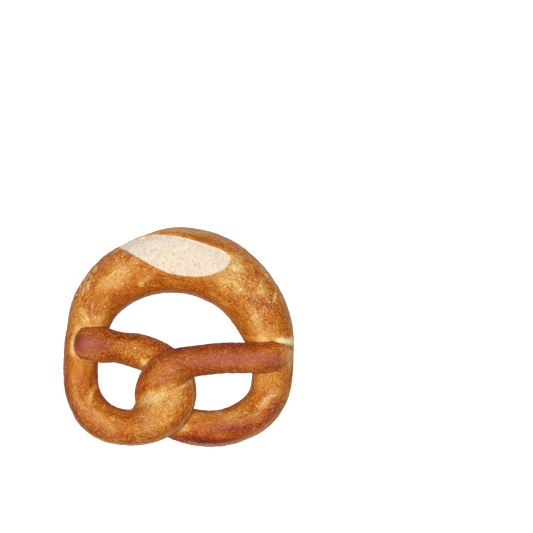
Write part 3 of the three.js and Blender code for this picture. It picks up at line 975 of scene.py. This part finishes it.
def crust_relief():
    """Blisters and wrinkles on the crust and pores in the crumb, as a Geometry Nodes tree."""
    inputs = [("Geometry", "NodeSocketGeometry"), ("Finish", "NodeSocketMaterial")]
    inputs += [(name, NUMBER, size) for name, size in SMALL_FORMS.items()]
    inputs += [("Seed", NUMBER, LONG_SEED)]
    outputs = [("Geometry", "NodeSocketGeometry")]
    group, tree, given, result = new_group("crust relief", "GeometryNodeTree", inputs, outputs)

    def attribute(name, kind="FLOAT"):
        node = tree.add("GeometryNodeInputNamedAttribute", {"data_type": kind}, Name=name)
        return node.outputs[0]

    def stretched(vector, length, width):
        """The vector with one unit to the length and one to the width, shifted by the seed."""
        ahead, aside = (tree.math("DIVIDE", 1.0, given[size]) for size in (length, width))
        share = tree.add("ShaderNodeCombineXYZ", X=ahead, Y=aside)
        shift = tree.add("ShaderNodeCombineXYZ", Z=given["Seed"])
        shares = tree.vector("MULTIPLY", vector, share.outputs[0])
        return tree.vector("ADD", shares, shift.outputs[0])

    def swell(vector, length, width, height):
        """Smooth humps and hollows of that length, width and height."""
        humps = tree.noise(stretched(vector, length, width), 1.0, 1.0)
        humps = tree.times(tree.minus(humps, 0.5), 2.0)
        return tree.times(humps, given[height])

    rope = attribute("rope", "FLOAT_VECTOR")
    place_mm = tree.scaled(tree.add("GeometryNodeInputPosition").outputs[0], 1 / MM)
    crumb = tree.between(attribute("split"), 0.0, 0.9)
    crust = tree.minus(1.0, crumb)
    height_mm = tree.add("ShaderNodeSeparateXYZ", Vector=place_mm).outputs[2]
    clear = tree.between(height_mm, 0.3, 4.0)

    blisters = tree.noise(stretched(rope, "Blister length", "Blister width"), 1.0, 1.0)
    blisters = tree.between(blisters, 0.42, 0.68)
    blisters = tree.times(blisters, given["Blister height"])
    lying = stretched(rope, "Long blister length", "Long blister width")
    domes = long_blisters(tree, lying, attribute("blistered"))[0]
    blisters = tree.math("MULTIPLY_ADD", domes, given["Long blister height"], blisters)
    mark = attribute("mark", "FLOAT_VECTOR")
    dome = tree.times(single_mark(tree, mark, place_mm)[0], attribute("mark_kind"))
    dome = tree.larger(dome, 0.0)
    blisters = tree.math("MULTIPLY_ADD", dome, given["Long blister height"], blisters)
    wrinkles = swell(rope, "Wrinkle length", "Wrinkle width", "Wrinkle height")
    uneven = swell(place_mm, "Uneven size", "Uneven size", "Uneven height")
    pores = tree.noise(stretched(place_mm, "Pore size", "Pore size"), 1.0, 2.0)
    pores = tree.times(tree.between(pores, 0.6, 0.4), given["Pore depth"])

    rise = tree.times(tree.plus(blisters, wrinkles), crust)
    rise = tree.plus(rise, uneven)
    rise = tree.minus(rise, tree.times(pores, crumb))
    rise = tree.times(tree.times(rise, clear), MM)
    push = tree.scaled(tree.add("GeometryNodeInputNormal").outputs[0], rise)
    moved = tree.add("GeometryNodeSetPosition", Geometry=given["Geometry"], Offset=push)
    real = tree.add("GeometryNodeRealizeInstances", Geometry=moved.outputs[0])
    finish = {"Geometry": real.outputs[0], "Material": given["Finish"]}
    tree.put(result["Geometry"], tree.add("GeometryNodeSetMaterial", **finish).outputs[0])
    return group


def linear(red, green, blue):
    """A colour given as seen on a screen, 0 to 255, as the light it stands for."""
    shares = (value / 255 for value in (red, green, blue))
    steps = [s / 12.92 if s <= 0.04045 else ((s + 0.055) / 1.055) ** 2.4 for s in shares]
    return (*steps, 1.0)


# The crust's colours from raw-looking dough to the darkest crust.
CRUST_COLOURS = [
    (0.00, linear(255, 238, 212)),
    (0.16, linear(242, 210, 148)),
    (0.32, linear(229, 177, 92)),
    (0.48, linear(212, 142, 46)),
    (0.62, linear(194, 107, 14)),
    (0.76, linear(175, 78, 2)),
    (0.90, linear(150, 53, 2)),
    (1.05, linear(112, 34, 6)),
]
# the colour of the painted sheen, light reflected off the glossy crust
PAINTED_SHEEN_COLOUR = linear(194, 120, 100)
# pale dust, and the painted sheen of reflected light along the rims
DUST_AND_SHEEN_COLOUR = linear(240, 200, 158)
TAN_COLOUR = linear(226, 176, 132)
CRUMB_COLOUR = linear(237, 222, 199)
# the crumb's colour with painted light where it leans outward, away from the light
CRUMB_PAINTED_LIGHT = linear(254, 243, 225)
CRUMB_SHADE = linear(190, 166, 130)


def crust_colour_group():
    """The crust's colour by how browned it is."""
    inputs, outputs = [("Browning", NUMBER, 0.5)], [("Color", COLOUR)]
    group, tree, given, result = new_group("baked colour", "ShaderNodeTree", inputs, outputs)
    last = CRUST_COLOURS[-1][0]
    ramp = tree.add("ShaderNodeValToRGB", Fac=tree.math("DIVIDE", given["Browning"], last))
    stops = ramp.color_ramp.elements
    while len(stops) < len(CRUST_COLOURS):
        stops.new(0.5)
    # the places come first, because the stops change their order while they move
    for stop, (place, _) in zip(stops, CRUST_COLOURS):
        stop.position = place / last
    for stop, (_, colour) in zip(stops, CRUST_COLOURS):
        stop.color = colour
    tree.put(result["Color"], ramp.outputs[0])
    return group


def grain_group():
    """Flecks, speckle and fine relief that follow the rope."""
    inputs = [("Rope", VECTOR), ("Place", VECTOR), ("Grainy", NUMBER, 0.5), ("Blistered", NUMBER)]
    outputs = [(name, NUMBER) for name in ("Flecks", "Rims", "Speckle", "Height")]
    group, tree, given, result = new_group("crust grain", "ShaderNodeTree", inputs, outputs)

    def stretched(vector, length, width, shift):
        """The vector with one unit to the length and one to the width, moved by the shift."""
        shares = (1 / length, 1 / width, 1 / width)
        moved = tree.add("ShaderNodeMapping", Vector=vector, Scale=shares, Location=(0, 0, shift))
        return moved.outputs[0]

    rope, place = given["Rope"], given["Place"]
    blister = SMALL_FORMS["Blister length"], SMALL_FORMS["Blister width"]
    long_blister = SMALL_FORMS["Long blister length"], SMALL_FORMS["Long blister width"]
    # pale streaks on the blisters, and beads in clusters between them
    wide = tree.noise(stretched(rope, *blister, 4.0), 1.0, 3.0, 0.6, 0.4)
    streaks = tree.times(tree.between(wide, 0.54, 0.70), 0.4)
    warp = tree.noise(stretched(rope, 1.6, 1.6, 1.0), 1.0, 1.0)
    bent = tree.vector("ADD", stretched(rope, 1.8, 1.25, 0.0), warp)
    grain, _ = tree.cells(bent, 1.0)
    beads = tree.between(grain, 0.52, 0.12)
    patches = tree.noise(stretched(rope, 8.0, 5.5, 7.0), 1.0, 2.0)
    clusters = tree.between(tree.math("MULTIPLY_ADD", given["Grainy"], 0.2, patches), 0.54, 0.74)
    # small dots, and the browned rings round them
    dot, chance = tree.cells(stretched(place, 2.1, 2.1, 5.0), 1.0)
    kept = tree.between(chance, 0.35, 0.55)
    dots = tree.times(tree.times(tree.between(dot, 0.28, 0.16), kept), 0.7)
    rings = tree.times(tree.between(dot, 0.24, 0.36), tree.between(dot, 0.56, 0.44))
    rings = tree.times(rings, kept)
    beads = tree.larger(tree.times(beads, clusters), dots)
    lying = stretched(rope, *long_blister, LONG_SEED)
    domes, rims = long_blisters(tree, lying, given["Blistered"])
    flecks = tree.times(tree.larger(streaks, beads), given["Grainy"])
    flecks = tree.larger(flecks, tree.times(domes, 0.8))
    rings = tree.times(rings, tree.times(given["Grainy"], 0.8))
    rims = tree.larger(rims, rings)
    # the finest speckle, with a net of darker lines round the beads
    net = tree.between(grain, 0.70, 0.20, -1.0, 1.0)
    fine = tree.noise(stretched(rope, 2.4, 1.1, 9.0), 1.0, 2.0, 0.6, 0.3)
    dusting = tree.noise(stretched(place, 1.0, 1.0, 2.0), 1.0, 2.0, 0.7)
    fine, dusting = tree.times(fine, 0.45), tree.times(dusting, 0.55)
    speckle = tree.plus(fine, dusting)
    strength = tree.math("MULTIPLY_ADD", given["Grainy"], 2.7, 2.6)
    speckle = tree.times(tree.minus(speckle, 0.5), strength)
    net = tree.times(net, tree.times(given["Grainy"], 0.16))
    speckle = tree.minus(speckle, net)
    darker = tree.larger(speckle, 0.0)
    speckle = tree.math("MULTIPLY_ADD", darker, -0.4, speckle)
    height = tree.plus(tree.times(flecks, 0.5), speckle)
    for socket, value in zip(result, (flecks, rims, speckle, height)):
        tree.put(socket, value)
    return group


def crumb_group():
    """The split's torn crumb: cream, with small pores."""
    inputs = [("Place", VECTOR), ("Crumb", COLOUR, CRUMB_COLOUR), ("Shade", COLOUR, CRUMB_SHADE)]
    outputs = [("Color", COLOUR), ("Height", NUMBER)]
    group, tree, given, result = new_group("torn crumb", "ShaderNodeTree", inputs, outputs)
    soft = tree.noise(given["Place"], 0.4, 3.0, 0.6)
    fine = tree.noise(given["Place"], 1.3, 2.0, 0.7)
    pores, _ = tree.cells(given["Place"], 0.6)
    pit = tree.between(pores, 0.34, 0.14)
    sparse = tree.between(tree.noise(given["Place"], 0.33, 1.0), 0.45, 0.6)
    pit = tree.times(pit, sparse)
    shade = tree.between(soft, 0.35, 0.75, 0.0, 0.3)
    shade = tree.plus(shade, tree.between(fine, 0.45, 0.75, 0.0, 0.5))
    # darker in the pits: painted shade in the pores
    shade = tree.plus(shade, tree.times(pit, 0.25))
    tree.put(result["Color"], tree.mix(shade, given["Crumb"], given["Shade"]))
    tree.put(result["Height"], tree.minus(tree.times(fine, 0.6), pit))
    return group


GRAIN, BAKED, CRUMB = grain_group(), crust_colour_group(), crumb_group()


def new_material(name):
    """A new material, its tree and its shader's inputs."""
    material = bpy.data.materials.new(name)
    material.use_nodes = True
    return material, Tree(material.node_tree), material.node_tree.nodes["Principled BSDF"].inputs


def crust_material():
    """The crust by how it baked, with painted sheen and shade, and the crumb in the split."""
    material, tree, shader = new_material("baked crust")

    def attribute(name, output="Fac"):
        return tree.add("ShaderNodeAttribute", {"attribute_name": name}).outputs[output]

    def group(tree_of, **inputs):
        return tree.add("ShaderNodeGroup", {"node_tree": tree_of}, **inputs).outputs

    place_mm = tree.scaled(tree.add("ShaderNodeTexCoord").outputs["Object"], 1 / MM)
    grain = group(
        GRAIN,
        Rope=attribute("rope", "Vector"),
        Place=place_mm,
        Grainy=attribute("grainy"),
        Blistered=attribute("blistered"),
    )
    # the crumb is painted lighter where it leans outward: painted light against its shading
    torn = tree.mix(attribute("outward"), CRUMB_COLOUR, CRUMB_PAINTED_LIGHT)
    crumb = group(CRUMB, Place=place_mm, Crumb=torn)
    inside_mark, mark_rim, paler = single_mark(tree, attribute("mark", "Vector"), place_mm)
    kind = attribute("mark_kind")
    # the whitish flakes, partly painted glints
    glinting_flakes = tree.times(kind, -1.0)
    glinting_flakes = tree.times(tree.larger(glinting_flakes, 0.0), paler)
    glinting_flakes = tree.times(glinting_flakes, inside_mark)
    rimmed = tree.times(tree.larger(kind, 0.0), mark_rim)
    not_glinting_flakes = tree.math("GREATER_THAN", kind, -0.5)
    paler = tree.times(tree.times(paler, inside_mark), not_glinting_flakes)

    base = attribute("browning")
    # light flecks show most on crust that is neither raw nor dark
    room = tree.between(base, 0.85, 0.55, 0.20, 0.32)
    room = tree.times(room, tree.between(base, 0.2, 0.45, 0.5, 1.0))
    browning = tree.minus(base, tree.times(grain["Flecks"], room))
    browning = tree.plus(browning, tree.times(grain["Rims"], 0.13))
    depth = tree.between(base, 0.42, 0.74, 0.36, 0.60)
    browning = tree.plus(browning, tree.times(grain["Speckle"], depth))
    browning = tree.minus(browning, paler)
    browning = tree.math("MULTIPLY_ADD", rimmed, 0.18, browning)
    browning = tree.plus(browning, 0.06)
    # darker along the seams between strands: painted shade in the creases
    painted_crease_shade = tree.between(tree.math("ABSOLUTE", attribute("seam")), 1.0, 0.1, 0.0, 0.22)
    browning = tree.plus(browning, painted_crease_shade)
    pale = attribute("pale")
    browning = tree.times(browning, tree.minus(1.0, pale))
    # the split's edge is ragged and has a thin paler lip
    split = tree.plus(attribute("split"), tree.times(grain["Speckle"], 0.9))
    lip = tree.times(tree.between(split, -0.9, -0.4), tree.between(split, 0.4, 0.0))
    browning = tree.minus(browning, tree.times(lip, 0.06))
    baked = group(BAKED, Browning=browning)["Color"]
    # painted pinkish sheen, tan blotches on the palest crust, and dust with painted sheen along
    # the rims
    painted_sheen = tree.math("MULTIPLY_ADD", grain["Speckle"], -0.8, 0.75)
    painted_sheen = tree.times(painted_sheen, attribute("painted_sheen"))
    baked = tree.mix(painted_sheen, baked, PAINTED_SHEEN_COLOUR)
    tan = tree.between(tree.noise(place_mm, 0.16, 3.0, 0.6), 0.45, 0.65, 0.0, 0.3)
    tan = tree.times(tan, tree.between(base, 0.57, 0.40))
    tan = tree.times(tan, tree.minus(1.0, pale))
    baked = tree.mix(tan, baked, TAN_COLOUR)
    # pale dust, and painted sheen along the rims and crests
    dust_and_sheen_share = tree.math("MULTIPLY_ADD", grain["Speckle"], -0.6, 0.9)
    dust_and_sheen_share = tree.larger(tree.times(dust_and_sheen_share, attribute("dust_and_sheen")), glinting_flakes)
    baked = tree.mix(dust_and_sheen_share, baked, DUST_AND_SHEEN_COLOUR)
    inside = tree.between(split, -0.25, 0.25)
    tree.put(shader["Base Color"], tree.mix(inside, baked, crumb["Color"]))

    gloss = tree.between(grain["Speckle"], -0.5, 0.5, 0.20, 0.36)
    matt = tree.larger(inside, attribute("dull"))
    tree.put(shader["Roughness"], tree.math("MULTIPLY_ADD", matt, 0.4, gloss))
    shader["Specular IOR Level"].default_value = 0.21
    shader["Sheen Weight"].default_value = 0.12
    shader["Sheen Roughness"].default_value = 0.25
    shader["Sheen Tint"].default_value = linear(255, 214, 190)
    relief = tree.mix(inside, grain["Height"], crumb["Height"], "FLOAT")
    bump = tree.add("ShaderNodeBump", Strength=0.8, Distance=0.5 * MM, Height=relief)
    tree.put(shader["Normal"], bump.outputs[0])
    return material


crust = crust_material()
modifier = pretzel.modifiers.new("crust relief", "NODES")
modifier.node_group = crust_relief()
for item in modifier.node_group.interface.items_tree:
    if item.name == "Finish":
        modifier[item.identifier] = crust
graph = bpy.context.evaluated_depsgraph_get()
finished = bpy.data.meshes.new_from_object(
    pretzel.evaluated_get(graph), preserve_all_data_layers=True, depsgraph=graph
)
pretzel.modifiers.clear()
pretzel.data = finished
finished.name = "pretzel crust"

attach(pretzel, "root")
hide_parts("pretzel")

# ---------------------------------------------------------------- floor, light, camera
FLOOR = 3  # metres from the middle to each edge
FLOOR_HEIGHT = -0.0002  # just under the pretzel, so that the two don't flicker
SOFTBOX_SIZE, SOFTBOX_POWER = 1.1, 19.8
CAMERA_PLACE, CAMERA_LENS = (0.0570, 0.0460, 1.012), 104.2  # straight above, looking down
floor_mesh = bpy.data.meshes.new("floor")
corners = [(-FLOOR, -FLOOR, 0), (FLOOR, -FLOOR, 0), (FLOOR, FLOOR, 0), (-FLOOR, FLOOR, 0)]
floor_mesh.from_pydata(corners, [], [(0, 1, 2, 3)])
floor = bpy.data.objects.new("floor", floor_mesh)
bpy.context.scene.collection.objects.link(floor)
floor.location.z = FLOOR_HEIGHT
board, board_tree, board_shader = new_material("pale board")
board_shader["Base Color"].default_value = (0.5, 0.5, 0.5, 1)
board_shader["Roughness"].default_value = 0.9
board_shader["Emission Color"].default_value = (1, 1, 1, 1)
ray = board_tree.add("ShaderNodeLightPath").outputs
seen = board_tree.times(ray["Is Camera Ray"], 0.95)
glow = board_tree.math("MULTIPLY_ADD", ray["Is Glossy Ray"], 0.12, seen)
board_tree.put(board_shader["Emission Strength"], glow)
floor_mesh.materials.append(board)

scene = bpy.context.scene
scene.view_settings.view_transform = "Standard"
world = bpy.data.worlds.new("studio")
world.use_nodes = True
world.node_tree.nodes["Background"].inputs["Color"].default_value = (1, 1, 1, 1)
world.node_tree.nodes["Background"].inputs["Strength"].default_value = 0.25
scene.world = world

lamp = bpy.data.lights.new("overhead softbox", "AREA")
lamp.shape = "SQUARE"
lamp.size = SOFTBOX_SIZE
lamp.energy = SOFTBOX_POWER
softbox = bpy.data.objects.new("overhead softbox", lamp)
softbox.location = (-0.1, 0.0, 1.35)
softbox.rotation_mode = "QUATERNION"
softbox.rotation_quaternion = (-softbox.location).to_track_quat("-Z", "Y")  # at the middle
scene.collection.objects.link(softbox)

camera = bpy.data.objects.new("camera", bpy.data.cameras.new("camera"))
camera.data.sensor_width = 36
camera.data.lens = CAMERA_LENS
camera.location = CAMERA_PLACE
camera.data.clip_end = 20
scene.collection.objects.link(camera)
scene.camera = camera
